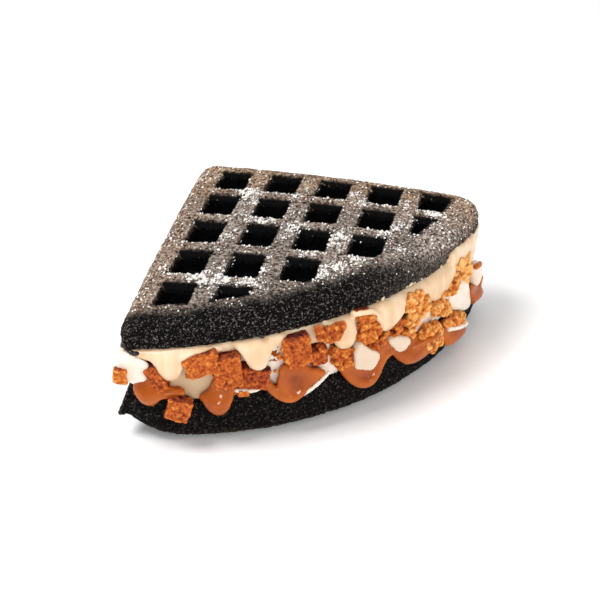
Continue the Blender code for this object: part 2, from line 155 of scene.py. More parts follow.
# Outlines of poured fillings: each is a row of angles and heights on the round edge.
# Ivory sauce under the upper waffle: a band behind the biscuits, and the drips in front of it
SAUCE_BANDS = (
    ((74, 36), (59, 37), (58.6, 33.6), (61.2, 33), (68, 31.8), (71.2, 31.8), (74, 32.2)),
    ((61, 37), (44, 37), (44, 30), (47, 27.5), (52, 28.5), (54.9, 29.4), (56.8, 29), (57.2, 32),
     (58.6, 33.6), (61, 33.8)),
    ((45, 37), (20, 35.6), (1.6, 33), (2, 29.5), (4.6, 27), (7.4, 24), (9.6, 22.6), (11.6, 24.4),
     (13.6, 28), (16.5, 29.8), (20.5, 30.2), (23.5, 28.8), (26.4, 27.4), (28, 26.4), (30.2, 27.6), (33, 29),
     (36.2, 30), (40, 30), (43.4, 32)),
)
SAUCE_DRIPS = (
    ((87.6, 32.4), (86.1, 34), (71.8, 36), (71, 33.6), (73, 33.6), (74.7, 33), (75.7, 32.6), (76.8, 31.9),
     (77.6, 30.6), (78.2, 28.4), (78.8, 26.2), (79.5, 24.4), (80.6, 23.5), (81.5, 24.3), (82.1, 25.7),
     (82.5, 27.5), (82.8, 29.4), (83.3, 30.5), (84.1, 30.9), (84.8, 31.3), (85.6, 31.7), (86.6, 31.6)),
    ((70, 36), (59.6, 37), (60.2, 35.2), (61.2, 33.9), (62.3, 32.6), (62.8, 31.8), (63.2, 30.1),
     (63.6, 28.1), (64.3, 25.8), (65.4, 25), (66.5, 26.3), (67.4, 28.7), (68, 31.2), (68.6, 33.6)),
    ((54.5, 37), (46.4, 37), (47, 35.4), (47.5, 34.2), (47.2, 31), (47.4, 28.3), (48.1, 25.8), (49.4, 25.2),
     (50.7, 26.3), (51.4, 28.3), (51.5, 30.5), (51.9, 33), (53, 35)),
    ((45, 37), (36, 36.8), (36, 33.2), (36.4, 31), (37, 29.4), (38.2, 27.8), (39.3, 26.4), (40.4, 25.9),
     (41.6, 27), (42.5, 29.6), (43, 32.4), (43.5, 34.4), (44.2, 35.4)),
    ((37, 36.8), (28, 36.6), (19.2, 35.8), (19.4, 33.6), (20.1, 30.6), (21.6, 27.6), (23.6, 25.6),
     (25.8, 25), (28.6, 27.2), (32, 29.6), (36, 30.4)),
    ((22.6, 38), (20.6, 38.6), (18, 37.8), (15.4, 37), (12.6, 36.4), (10.4, 35.6), (9.4, 33.6), (10.2, 31),
     (14, 31), (18, 32), (22, 34)),
)
# Caramel that runs over the lower waffle
CARAMEL_POOLS = (
    ((87, 24.7), (85.8, 26.1), (84.1, 27.4), (82.4, 25), (81.6, 21.6), (80.2, 20.9), (79, 20.8),
     (78.2, 20.6), (78.3, 19.6), (79.4, 19.2), (80.4, 18.6), (81.2, 18), (81.9, 17.9), (82.7, 17),
     (83.4, 15.2), (84.3, 14.3), (85.1, 14.7), (85.9, 16.2), (86.4, 18.4), (86.9, 20.6)),
    ((76, 17.6), (74.7, 18.9), (73.6, 20.7), (73.2, 23.3), (71.2, 24.3), (69, 22.5), (69.2, 21.1),
     (69.6, 19.8), (69.9, 17.8), (70.5, 15.1), (71.1, 12.3), (72, 10.7), (72.9, 10.6), (73.7, 11.6),
     (74.3, 13.2), (74.8, 15.1), (75.3, 16.8)),
    ((61.6, 25), (60.4, 25.6), (57.8, 24.9), (56.4, 22.4), (54.4, 21), (53, 19.5), (54.6, 17.9),
     (55.7, 16.7), (57.4, 14.7), (58.8, 12.7), (59.8, 12.3), (60.6, 13.2), (61.4, 15), (62, 16.8),
     (62.4, 18.4), (62.1, 20.4)),
    ((50.3, 18.4), (49, 19.9), (47.9, 21.3), (45, 21.5), (43.4, 21.7), (42, 22.5), (40.3, 22.9),
     (38.4, 21.3), (37.8, 19.3), (38.6, 17.9), (40.1, 17.7), (41.2, 17.4), (42.1, 15.7), (42.7, 13),
     (43.6, 10.6), (44.9, 9.3), (46.6, 9.9), (48.4, 12.5), (49.6, 15.6)),
    ((39.6, 20), (38.6, 20.8), (36.6, 19.4), (33.6, 18.2), (31, 17.6), (28.6, 17.2), (27, 15.6),
     (27.4, 12.2), (29, 9.2), (31, 8.2), (33.8, 8.4), (36.4, 10.6), (38.2, 14), (39.4, 17)),
    ((25.8, 13.8), (24.6, 15.6), (21.8, 13), (19.4, 10.8), (17.6, 9), (16.4, 6.4), (17, 4), (18.4, 3),
     (21.6, 4.2), (24, 6), (25.2, 9.4)),
    ((13.2, 17), (9.6, 15.6), (6.8, 12.4), (5.6, 9.4), (7.2, 8), (9.6, 8.8), (11.6, 11.4), (12.8, 14.2)),
)
# White cream that shows between the biscuits
CREAM_POOLS = (
    ((89.8, 26), (89.8, 29.4), (88.7, 31.4), (87.2, 32), (86.1, 31.4), (85.2, 30.6), (84.4, 29.5),
     (83.9, 28.6), (84, 25.8), (84.2, 23), (85.5, 22.6), (87, 22), (88.4, 23.6), (89.4, 24.6)),
    ((82, 19.4), (81.6, 22), (81, 25.3), (79.3, 27.7), (78.1, 28.4), (76.6, 27.3), (74.3, 27.1),
     (73.5, 26.6), (72.4, 23.8), (72.2, 19.4), (73.8, 18.3), (75.6, 16), (76.6, 15.4), (77.7, 16.6),
     (79.2, 17.6), (80.5, 18.4)),
    ((70.2, 20), (69.2, 22.4), (64.6, 22.4), (64, 19.6), (65.3, 18.9), (66.7, 18.9), (68.1, 19.3),
     (69.4, 19.2)),
    ((63.2, 33.4), (60.6, 33.4), (60.3, 28.8), (60.3, 25), (61, 21.4), (61.4, 18.5), (62.1, 17.4),
     (63.2, 18.8), (64, 21.3), (63.8, 26.2)),
    ((61, 26), (53.2, 25), (52.6, 21.4), (55.9, 21.4), (57.4, 21.8), (59.2, 23.8)),
    ((54, 28.8), (52, 28.8), (51.4, 22.4), (50.2, 19), (49.4, 17.4), (51.4, 17.2), (53, 17.8),
     (54.2, 20.2)),
    ((40.8, 24.4), (36.6, 24), (34.2, 21.6), (34.6, 17.2), (36, 15.6), (38, 16), (39.8, 18.5), (41, 21.6)),
    ((32.6, 26), (24.6, 26), (22.6, 20.8), (23.6, 15.7), (25.6, 16.4), (27.8, 17.2), (30.4, 16.8),
     (32, 15.9), (33.2, 17.6), (33.2, 22)),
    ((25, 27.4), (15.8, 28.4), (11.4, 23.4), (10.2, 15.5), (10.8, 9.9), (13.8, 9), (17, 12), (21.4, 15.2),
     (23.4, 20.5)),
    ((22.6, 21.6), (20.2, 23.6), (18, 24.8), (14.5, 20.4), (11.8, 15.8), (11, 8.4), (14, 9.8), (18, 13.8),
     (21, 17)),
)
# Patches of cream that lie over the caramel
CREAM_PATCHES = (
    ((48, 18), (46.1, 17), (44.4, 15.2), (43.6, 17.4), (42.8, 19.6), (44.2, 21.8), (46.1, 24.6), (46.9, 27),
     (47.8, 24.4)),
    ((41, 24), (37.8, 22.4), (35.9, 20), (36, 18), (37.6, 16.9), (38.7, 18.1), (40, 21.2)),
)

# Lips and strands: each is a thickness, then a path of angles, distances and heights
SAUCE_STRANDS = (
    (1.5, (47.8, 97, 36.4), (46.6, 98.4, 36.6), (45, 98.8, 36.2), (43.8, 98.8, 35.6), (42.8, 98.6, 33.4),
     (42, 98.4, 30.4), (41.6, 97.6, 28)),
    (1.3, (61, 96.4, 34.4), (60.6, 97.2, 32.4), (60.9, 97.4, 30.2), (60.4, 97, 27.6)),
)
CARAMEL_LIPS = (
    (2.3, (64.1, 98, 20.2), (63.4, 98.4, 18), (62.4, 98.7, 15.9), (61.3, 98.9, 14.2), (60, 99, 13.2),
     (58.9, 98.9, 13.8), (57.6, 98.7, 15.6)),
    (2.8, (49.7, 97.8, 18.6), (48.8, 98.4, 15.2), (47.6, 98.8, 12.8), (46.4, 99, 11.2), (44.9, 99, 10.6),
     (43.9, 98.9, 11.8), (43.1, 98.8, 13.7), (42.4, 98.6, 16), (41.6, 98.4, 17.8), (40.2, 98.4, 18.6),
     (38.2, 98.2, 18.6)),
    (1.6, (82, 98.2, 19), (80.6, 98.6, 19.8), (79.4, 98.8, 20), (78.2, 98.6, 19.6)),
    (1.5, (35, 98.8, 14.6), (33.2, 99.6, 15.8), (31, 100.6, 16), (29, 100.6, 15.4), (27.2, 99.4, 14.8)),
    (1.5, (10.9, 98.4, 23.4), (9.2, 99, 22.8), (7.4, 98.8, 21.6)),
    (2.6, (6.2, 98.2, 15.6), (7.4, 98, 12.6), (8.6, 97.6, 10.2), (9.6, 97, 8)),
)
CREAM_LIPS = (
    (0.9, (58, 98.9, 13.8), (57, 99.5, 15), (55.6, 99.7, 16.7), (54.2, 99.6, 18.2), (52.8, 98.8, 19.6)),
    (1, (69.6, 98, 19), (68, 98.7, 18.5), (66.4, 98.5, 18.2), (65.2, 97.8, 18.6)),
    (1.3, (23.8, 99.1, 12.6), (21.6, 99.8, 11), (19.4, 99.8, 9.2), (17.2, 99.4, 7.6), (15.4, 98.8, 6.2)),
)

# Sauce pressed out in beads along the upper waffle's lower edge: angle, distance, height and size
EDGE_BEADS = (
    (42, 96.4, 37.2, 0.9), (41, 96.6, 37.2, 1), (40.2, 96.4, 37.4, 0.8), (34.9, 96.4, 37, 0.9),
    (34, 96.6, 37.1, 1.1), (33, 96.4, 36.9, 0.9), (25.8, 96.4, 36.4, 0.9), (24.8, 96.5, 36.4, 1),
    (22.8, 96.5, 36.5, 1.1), (21.6, 96.8, 36.6, 1), (20.6, 96.6, 36, 1.1), (19.6, 96.4, 36, 1),
    (53, 96.2, 36.5, 0.8), (57.5, 96.2, 36.3, 0.8),
)

# Rounded swells of cream. From here to the blocks, each piece is an angle, distance, height, width,
# depth, tallness and roll.
CREAM_SWELLS = (
    (87.6, 96.2, 30.4, 5.6, 6.6, 4, 14), (88.9, 97, 28.8, 3.4, 4, 3.2, 0),
    (86, 97, 26.4, 3.6, 4.6, 6.4, -15), (8.6, 97.6, 18.6, 5, 4, 9.6, 0), (15.4, 95.6, 19, 7, 6, 10, 0),
    (6, 96, 14, 5.5, 6, 9, 0),
)
# Dark chocolate on the upper waffle's edge
CHOCOLATE_SPOTS = (
    (88.2, 96.6, 34.6, 1.8, 2.4, 2.2, 30), (87.6, 96.8, 33.4, 2.6, 2, 1.3, 35),
    (86.9, 97.2, 32.6, 2.2, 1.8, 1.6, 15), (86, 97.3, 32.4, 2.2, 1.6, 0.9, -5),
    (85.3, 97, 31.4, 1.2, 1.2, 1.8, 0), (64.4, 97.2, 36.3, 2, 1.6, 1.4, 12),
)
# Loose crumbs of biscuit
CRUMBS = (
    (68.2, 98.3, 18, 3.2, 2.2, 1.9, 10), (60.8, 98, 30.8, 1.6, 1.4, 1.5, 20),
    (61.6, 97.8, 28.4, 1.3, 1.2, 1.8, -15), (60.4, 97.6, 26.6, 1.2, 1.2, 1.4, 30),
    (62.4, 97.6, 23.4, 0.9, 1, 0.9, 0), (61.4, 97.7, 21.2, 0.8, 1, 0.8, 0),
    (47.6, 98.6, 24.4, 1.8, 1.6, 1.4, -20), (36.2, 98, 26, 2, 1.6, 1.6, 15),
    (24.6, 98.4, 26.6, 1.8, 1.5, 1.6, 0), (64.6, 98.4, 19.2, 1.5, 1.3, 1.2, 25),
    (77.4, 97.6, 25, 1.4, 1.2, 1.3, 0),
)
# Biscuits that broke into blocks, by number
BLOCKS = {
    1: (88.9, 98.2, 25.3, 4.4, 4.2, 5.8, 8), 2: (82.7, 97, 24.5, 4.4, 5.8, 9.2, -27),
    3: (74.9, 95.8, 29.1, 10.8, 8, 7.2, -18), 5: (70.6, 95.7, 26.4, 8.6, 8.4, 10.8, -5),
    6: (66, 95.3, 22.6, 8.6, 8, 7.2, 12), 7: (79.3, 99.3, 14.7, 7.4, 4.6, 7.6, 17),
    8: (58.4, 95.5, 29.5, 8.6, 8.6, 10.6, -6), 22: (46.1, 97.4, 36.8, 4.6, 2.4, 2, 4),
    23: (62.4, 94.5, 29, 3.5, 5, 6, 10),
}
# Biscuits that broke into knobbly clusters, by number: their distance, then the angle, height and
# size of each lump
CLUSTERS = {
    9: (98.7, (54.4, 35, 3.3), (53.3, 32.9, 3.7), (52.7, 34.8, 2.3), (51.3, 34.4, 3), (50.2, 34.3, 2.7),
        (51.1, 31.8, 3.4), (52.5, 30.9, 2.7), (54.1, 32.6, 2.7)),
    10: (97.2, (55.5, 26.1, 3.7), (53.8, 27.1, 3.7), (53.7, 23.8, 3.7), (55.1, 24, 3.4)),
    11: (97.8, (51.5, 25.5, 3.7), (49.7, 24.4, 3.7), (47.8, 23.2, 3.4), (51, 22.1, 3.7), (48.9, 20.9, 4.1),
        (50.1, 19.5, 3.1), (48.5, 18.6, 2.7)),
    12: (98, (46, 34.5, 3), (44, 33.7, 3.4), (45.5, 31.4, 3.7), (43.4, 30, 3.8), (45.9, 28, 3.7),
        (44, 27.1, 4.4), (42.7, 27.5, 3.1), (45.4, 25.1, 2.7)),
    13: (98.2, (41.6, 24, 3.1), (42.8, 22.8, 3.1), (44.2, 22.3, 3.1), (41, 22.2, 2.1), (42.9, 20.1, 2.1),
        (45.1, 22.4, 2.1), (41.5, 20.6, 2.1)),
    14: (98, (40.5, 25.1, 2.1), (39.3, 23.1, 3.1), (38.1, 25, 3.5), (36.5, 21.8, 3.2), (37.6, 26.5, 2.8),
        (37.8, 21.1, 3.1)),
    15: (98.2, (35, 33.2, 4.2), (32.8, 33.2, 3.5), (30.9, 29.9, 3.2), (35.3, 30.4, 3.8), (33.1, 29.4, 4.2),
        (30.7, 27.1, 3.2), (34.2, 27, 3.8), (31.9, 25.2, 2.8)),
    16: (97.8, (35.1, 24.8, 3.5), (33.2, 23.2, 3.5), (34.5, 21.6, 3.5), (34.1, 18.8, 2.5)),
    17: (97.4, (27.1, 23.5, 4.7), (24.6, 20.8, 5.4), (23.4, 19, 4), (25.4, 23.9, 3.6)),
    18: (99, (30.4, 18.5, 4.3), (28.3, 17.7, 4), (27, 14.2, 3.3), (31.7, 17.7, 3.2), (30.9, 13.1, 4),
        (28.6, 11.7, 4.3), (26.6, 10.6, 3.3), (31.8, 12.3, 2.5), (29.3, 9.8, 2.9)),
    19: (98.8, (23.9, 15, 3.3), (21.6, 15, 3.3), (18.4, 12.2, 3.4), (20.4, 11.4, 3.3), (17.8, 9.2, 2.6),
        (23.1, 13, 2.2)),
    20: (98, (18.6, 32.8, 3.6), (15.6, 30.7, 2.9), (20.1, 32.2, 2.5), (16.5, 28.5, 3.7), (13.7, 26.6, 2.2),
        (13.8, 24.4, 2.6), (16.8, 26.1, 3.3), (15, 22.9, 2.2)),
    21: (98, (20.6, 30.4, 2.2), (20, 27.5, 2.9), (20.4, 25.6, 2.9), (21.6, 24.6, 2.9), (23.5, 25.5, 2.2),
        (25.4, 26.7, 1.6), (19.1, 25.4, 1.8)),
}
# How much lighter (or darker, where negative) than the others a biscuit is baked, by number. Number
# 22 sits under the upper waffle's edge, and its darker tone there is partly painted shade.
TONES_AND_SHADE = {
    1: 0.12, 2: -0.08, 3: 0.06, 6: -0.12, 10: -0.05, 11: 0.07, 12: 0.09, 14: 0.06, 15: 0.28, 16: 0.26,
    17: 0.28, 18: 0.24, 19: 0.22, 20: 0.4, 21: 0.22, 22: -0.25, 23: -0.2,
}


def place(angle, distance, height):
    """A polar place in the filling, in metres."""
    turn = math.radians(angle)
    return Vector((
        (CORNER[0] + distance * math.cos(turn)) * MM,
        (CORNER[1] - distance * math.sin(turn)) * MM,
        height * MM,
    ))


def facing(angle, roll):
    """Turns local +Y away from the corner at this angle and +X along the round edge, then rolls."""
    turn = Matrix.Rotation(math.radians(90.0 - angle), 4, "Z")
    return turn @ Matrix.Rotation(math.radians(roll), 4, "Y")


def choose(*pieces):
    """Selects only these pieces, and makes the first one active."""
    bpy.ops.object.select_all(action="DESELECT")
    for piece in pieces:
        piece.select_set(True)
    bpy.context.view_layer.objects.active = pieces[0]


def start(primitive, **settings):
    """A primitive to be shaped, added with nothing else selected."""
    bpy.ops.object.select_all(action="DESELECT")
    primitive(**settings)
    return bpy.context.object


def new_object(name, data):
    """Puts a mesh, curve, light or camera into the scene."""
    made = bpy.data.objects.new(name, data)
    bpy.context.scene.collection.objects.link(made)
    return made


def shape(piece, kind, **settings):
    """Finishes the piece with one modifier, which is applied."""
    modifier = piece.modifiers.new(kind.lower(), kind)
    for key, value in settings.items():
        setattr(modifier, key, value)
    choose(piece)
    bpy.ops.object.modifier_apply(modifier=modifier.name)


def grow(piece, by):
    """Moves the surface out by so many millimetres, or in where the value is negative."""
    shape(piece, "DISPLACE", strength=by * MM, mid_level=0.0)


def one_skin(piece, size, smoothed=0):
    """Remakes the piece as one even skin, with faces of this size in millimetres, and smooths it."""
    shape(piece, "REMESH", mode="VOXEL", voxel_size=size * MM)
    if smoothed:
        shape(piece, "SMOOTH", factor=0.5, iterations=smoothed)


def relief(piece, name, kind, size, height, level=0.5, **settings):
    """Raises and sinks the surface by a pattern whose features have this size, in millimetres."""
    pattern = bpy.data.textures.get(name) or bpy.data.textures.new(name, kind)
    pattern.noise_scale = size * MM
    for key, value in settings.items():
        setattr(pattern, key, value)
    shape(
        piece, "DISPLACE", texture=pattern, texture_coords="LOCAL", strength=height * MM, mid_level=level
    )


def cad_copy(node, name):
    """A new piece with the form of a node of the model, its loose triangles merged."""
    piece = new_object(name, NODES[node].data.copy())
    piece.data.materials.clear()
    bm = bmesh.new()
    bm.from_mesh(piece.data)
    bmesh.ops.remove_doubles(bm, verts=bm.verts, dist=WELD * MM)
    bm.to_mesh(piece.data)
    bm.free()
    return piece


def join(*pieces):
    """Joins the pieces into the first one."""
    choose(*pieces)
    bpy.ops.object.join()
    return pieces[0]


def points_of(piece):
    """Where the piece's points lie, in millimetres."""
    points = np.empty(len(piece.data.vertices) * 3, np.float32)
    piece.data.vertices.foreach_get("co", points)
    return points.reshape(-1, 3) / MM


def normals_of(piece):
    """Which way the surface faces at each point."""
    normals = np.empty(len(piece.data.vertices) * 3, np.float32)
    piece.data.vertices.foreach_get("normal", normals)
    return normals.reshape(-1, 3)


def move_points(piece, points):
    """Moves the piece's points to these places, in millimetres."""
    piece.data.vertices.foreach_set("co", (points * MM).ravel())
    piece.data.update()


def store(piece, name, values):
    """Keeps a value for each point of the piece, which its material reads."""
    attribute = piece.data.attributes.new(name, "FLOAT", "POINT")
    attribute.data.foreach_set("value", np.asarray(values, np.float32))


def stored(piece, name):
    """The value kept for each point of the piece."""
    values = np.empty(len(piece.data.vertices), np.float32)
    piece.data.attributes[name].data.foreach_get("value", values)
    return values


def hollows(piece, rounds):
    """How far each point lies in a hollow (negative) or on a bump (positive), in millimetres."""
    points = points_of(piece)
    edges = np.empty(len(piece.data.edges) * 2, np.int32)
    piece.data.edges.foreach_get("vertices", edges)
    starts, ends = edges.reshape(-1, 2).T
    count = len(points)
    near = np.bincount(starts, minlength=count) + np.bincount(ends, minlength=count)
    even = points.copy()
    for _ in range(rounds):
        total = np.zeros_like(even)
        for axis in range(3):
            total[:, axis] = np.bincount(starts, even[ends, axis], count)
            total[:, axis] += np.bincount(ends, even[starts, axis], count)
        even = total / np.maximum(near, 1)[:, None]
    return np.einsum("ij,ij->i", points - even, normals_of(piece))


def slow_noise(points, size, seed):
    """A smooth random value from about -1 to 1 at each point, with features of this size."""
    shift = Vector((seed * 7.1, seed * 3.3, seed * 5.7))
    return np.array([noise.noise(Vector(point) / size + shift) for point in points])


def step(values, none, full):
    """0 up to one value, 1 from the other one on, and smooth between. Either may be the higher."""
    share = np.clip((values - none) / (full - none), 0.0, 1.0)
    return share * share * (3.0 - 2.0 * share)


def linear(code):
    """An sRGB hex value as a linear colour."""
    parts = [int(code[index:index + 2], 16) / 255 for index in (1, 3, 5)]
    return (*[part / 12.92 if part <= 0.04045 else ((part + 0.055) / 1.055) ** 2.4 for part in parts], 1.0)


def feed(made, links):
    """Feeds a node's sockets, each from a socket or from the first output of a node."""
    for key, source in links.items():
        socket = source if isinstance(source, bpy.types.NodeSocket) else source.outputs[0]
        made.id_data.links.new(socket, made.inputs[key])


def add(tree, kind, settings=None, links=None, stops=None):
    """Adds a node. Settings are its properties or its sockets' values, and links feed its sockets.

    Stops are the places and colours of a ramp.
    """
    made = tree.nodes.new("ShaderNode" + kind)
    for key, value in (settings or {}).items():
        if isinstance(key, int) or key in made.inputs:
            made.inputs[key].default_value = value
        else:
            setattr(made, key, value)
    feed(made, links or {})
    if stops:
        ramp = made.color_ramp.elements
        for index, (position, code) in enumerate(stops):
            stop = ramp[index] if index < 2 else ramp.new(position)
            stop.position = position
            stop.color = linear(code)
    return made


# What most of the nodes are set to: one scales a value and adds to it, one mixes two colours
SCALE = {"operation": "MULTIPLY_ADD"}
COLOURS = {"data_type": "RGBA"}


def new_material(name, **settings):
    """A material, its shader with the values that are even all over, and add() for its nodes."""
    made = bpy.data.materials.new(name)
    made.use_nodes = True
    shader = made.node_tree.nodes["Principled BSDF"]
    for key, value in settings.items():
        shader.inputs[key.replace("_", " ")].default_value = value
    return made, shader, partial(add, made.node_tree)


def per_mm(size):
    """The scale of a pattern whose features have this size in millimetres."""
    return 1.0 / (size * MM)


def cocoa_crumb(name, dark, pale):
    """Dark cocoa waffle, baked dry between irons: a matt, porous crumb of dark grains.

    Where flour and sugar dust lies, the grains turn grey, tan and white. Its pits are painted darker
    and its bumps lighter, as shade and light, and its pockets near black, as shade. A grain is 0.3 mm,
    drawn at 0.4 mm because a finer one wouldn't show.
    """
    made, shader, node = new_material(name, Roughness=0.7, Specular_IOR_Level=0.05)
    place_on = node("TexCoord").outputs["Object"]
    hollow, dust, powder, toast, deep = [
        node("Attribute", {"attribute_name": value}).outputs["Fac"]
        for value in ("hollow", "dust", "powder", "toast", "deep")
    ]
    grain = node("TexVoronoi", {"Scale": per_mm(0.4)}, {"Vector": place_on})
    shade = node("SeparateColor", links={0: grain.outputs["Color"]})
    cloud = node("TexNoise", {"Scale": per_mm(0.5), "Detail": 2.0}, {"Vector": place_on})
    cloud = node("Math", SCALE | {1: 2.8, 2: -0.98}, {0: cloud})
    speck = node("Math", {"operation": "MULTIPLY", 1: 0.45}, {0: shade})
    speck = node("Math", SCALE | {1: 0.55}, {0: cloud, 2: speck})
    # Painted shade and light: pits darker and bumps lighter, by how hollow the surface is
    speck = node("Math", SCALE | {1: 1.1}, {0: hollow, 2: speck})
    bare = node("ValToRGB", links={0: speck}, stops=(
        (0.2, "#030202"), (0.44, "#0C0A09"), (0.64, dark), (0.9, pale),
    ))
    crust = node("TexNoise", {"Scale": per_mm(0.9), "Detail": 4.0}, {"Vector": place_on})
    crust = node("Math", SCALE | {1: 2.4, 2: -0.87}, {0: crust})
    crust = node("Math", SCALE | {1: 0.62}, {0: speck, 2: crust})
    grey = node("ValToRGB", links={0: crust}, stops=(
        (0.12, "#19130F"), (0.32, "#453A33"), (0.5, "#716660"), (0.74, "#94887F"), (0.94, "#BDB2AA"),
    ))
    brown = node("ValToRGB", links={0: crust}, stops=(
        (0.12, "#1F140D"), (0.32, "#523E31"), (0.5, "#806655"), (0.74, "#A1866F"), (0.94, "#C2A990"),
    ))
    dusty = node("Mix", COLOURS, {0: toast, 6: grey, 7: brown})
    colour = node("Mix", COLOURS, {0: dust, 6: bare, 7: dusty.outputs[2]})
    half = node("Math", {"operation": "MULTIPLY", 1: 0.5}, {0: speck})
    lying = node("Math", SCALE | {1: 0.95}, {0: powder, 2: half})
    covered = node("ValToRGB", links={0: lying}, stops=((0.62, "#000000"), (0.8, "#FFFFFF")))
    colour = node("Mix", COLOURS | {7: linear("#ECE7E3")}, {0: covered, 6: colour.outputs[2]})
    # Painted shade: near black in the pockets' shade, by the deep value
    colour = node("Mix", COLOURS | {7: linear("#060505")}, {0: deep, 6: colour.outputs[2]})
    bump = node("Bump", {"Strength": 0.8, "Distance": 0.3 * MM}, {"Height": grain.outputs["Distance"]})
    bump = node("Bump", {"Strength": 0.5, "Distance": 0.2 * MM}, {"Height": cloud, "Normal": bump})
    feed(shader, {"Base Color": colour.outputs[2], "Normal": bump})
    return made


def ivory_sauce():
    """White chocolate sauce, poured warm: smooth and glossy, with light passing into it."""
    made, shader, node = new_material(
        "white_chocolate_sauce", Roughness=0.24, IOR=1.45, Specular_IOR_Level=0.35,
        Subsurface_Weight=0.45, Subsurface_Radius=(1.0, 0.66, 0.42), Subsurface_Scale=1.6 * MM,
    )
    place_on = node("TexCoord").outputs["Object"]
    drawn = node("Mapping", {"Scale": (1.0, 1.0, 0.16)}, {"Vector": place_on})
    cloud = node("TexNoise", {"Scale": per_mm(3.2), "Detail": 1.0}, {"Vector": drawn})
    colour = node("ValToRGB", links={0: cloud}, stops=((0.32, "#DFBB93"), (0.68, "#ECD2B2")))
    bump = node("Bump", {"Strength": 0.2, "Distance": 0.3 * MM}, {"Height": cloud})
    feed(shader, {"Base Color": colour, "Normal": bump})
    return made


def white_cream():
    """Whipped white cream: soft and satin, close to white, with a faint warm shade inside."""
    made, shader, node = new_material(
        "whipped_cream", Roughness=0.42, IOR=1.4, Specular_IOR_Level=0.3,
        Subsurface_Weight=0.5, Subsurface_Radius=(1.0, 0.86, 0.72), Subsurface_Scale=1.4 * MM,
    )
    place_on = node("TexCoord").outputs["Object"]
    beige = node("Attribute", {"attribute_name": "beige"}).outputs["Fac"]
    cloud = node("TexNoise", {"Scale": per_mm(5.0), "Detail": 2.0}, {"Vector": place_on})
    colour = node("ValToRGB", links={0: cloud}, stops=((0.3, "#E9D6C2"), (0.65, "#F3E8DC")))
    # Darker beige: painted shade at the left, and a tint where sauce mixed in on the patches
    colour = node("Mix", COLOURS | {7: linear("#CBAE8C")}, {0: beige, 6: colour})
    feed(shader, {"Base Color": colour.outputs[2]})
    return made


def soft_caramel():
    """Caramel sauce: a glossy amber brown, darker in its hollows and lighter on its lips.

    This stands partly for how thick it lies, and is partly painted shade and painted light.
    """
    made, shader, node = new_material(
        "soft_caramel", Roughness=0.3, IOR=1.48, Specular_IOR_Level=0.06,
        Coat_Weight=0.42, Coat_Roughness=0.08,
        Subsurface_Weight=0.25, Subsurface_Radius=(1.0, 0.34, 0.08), Subsurface_Scale=1.4 * MM,
    )
    place_on = node("TexCoord").outputs["Object"]
    hollow = node("Attribute", {"attribute_name": "hollow"}).outputs["Fac"]
    cloud = node("TexNoise", {"Scale": per_mm(6.0), "Detail": 2.0}, {"Vector": place_on})
    # Painted shade and light: darker in hollows, lighter on lips, by how hollow the surface is, standing
    # partly for how thick it lies
    thick = node("Math", SCALE | {1: 0.3}, {0: hollow, 2: cloud})
    colour = node("ValToRGB", links={0: thick}, stops=(
        (0.1, "#702D07"), (0.4, "#9C470D"), (0.8, "#BA5E14"),
    ))
    feed(shader, {"Base Color": colour})
    return made


def biscuit_crumb():
    """Caramelised biscuit, broken by hand: an open matt crumb, dark in its pores.

    Its hollows are painted darker as shade, and its edges painted golden as light.
    """
    made, shader, node = new_material(
        "caramelised_biscuit", Roughness=0.82, Specular_IOR_Level=0.25,
        Subsurface_Weight=0.12, Subsurface_Radius=(1.0, 0.45, 0.2), Subsurface_Scale=0.8 * MM,
    )
    place_on = node("TexCoord").outputs["Object"]
    hollow, baked = [
        node("Attribute", {"attribute_name": value}).outputs["Fac"] for value in ("hollow", "baked")
    ]
    tone = node("TexNoise", {"Scale": per_mm(2.6), "Detail": 2.0}, {"Vector": place_on})
    grain = node("TexNoise", {"Scale": per_mm(0.7), "Detail": 3.0}, {"Vector": place_on})
    mixed = node("Mix", {"Factor": 0.5}, {2: tone, 3: grain})
    # Painted shade and light: darker in hollows, golden on edges, by how hollow the surface is
    shade = node("Math", SCALE | {1: 1.1}, {0: hollow, 2: mixed})
    crumb = node("ValToRGB", links={0: shade}, stops=(
        (0.12, "#471205"), (0.25, "#84300E"), (0.39, "#AB4E19"), (0.54, "#C26323"), (0.74, "#DC8F3E"),
        (0.95, "#F2BC74"),
    ))
    crust = node("ValToRGB", links={0: shade}, stops=(
        (0.25, "#2E0D08"), (0.5, "#6C240D"), (0.8, "#AA4C1C"),
    ))
    colour = node("Mix", COLOURS, {0: baked, 6: crumb, 7: crust})
    pore = node("TexVoronoi", {"Scale": per_mm(1.2)}, {"Vector": place_on})
    chance = node("SeparateColor", links={0: pore.outputs["Color"]})
    wide = node("Math", SCALE | {1: 0.8}, {0: chance, 2: pore.outputs["Distance"]})
    open_pore = node("ValToRGB", links={0: wide}, stops=((0.22, "#CCCCCC"), (0.5, "#000000")))
    colour = node("Mix", COLOURS | {7: linear("#6A230B")}, {0: open_pore, 6: colour.outputs[2]})
    bump = node("Bump", {"Strength": 0.5, "Distance": 0.2 * MM}, {"Height": grain})
    feed(shader, {"Base Color": colour.outputs[2], "Normal": bump})
    return made


def dark_chocolate():
    """Dark chocolate, melted and set again: nearly black, with a soft gloss."""
    made, shader, node = new_material("dark_chocolate", Roughness=0.28)
    place_on = node("TexCoord").outputs["Object"]
    cloud = node("TexNoise", {"Scale": per_mm(2.0), "Detail": 3.0}, {"Vector": place_on})
    colour = node("ValToRGB", links={0: cloud}, stops=((0.35, "#0D0706"), (0.7, "#2A1712")))
    feed(shader, {"Base Color": colour})
    return made


def dusting_sugar():
    """Loose sugar and flour: dry white grains."""
    return new_material(
        "dusting_sugar", Roughness=0.7, Base_Color=linear("#F0EAE5"),
        Subsurface_Weight=0.2, Subsurface_Scale=0.3 * MM,
    )[0]


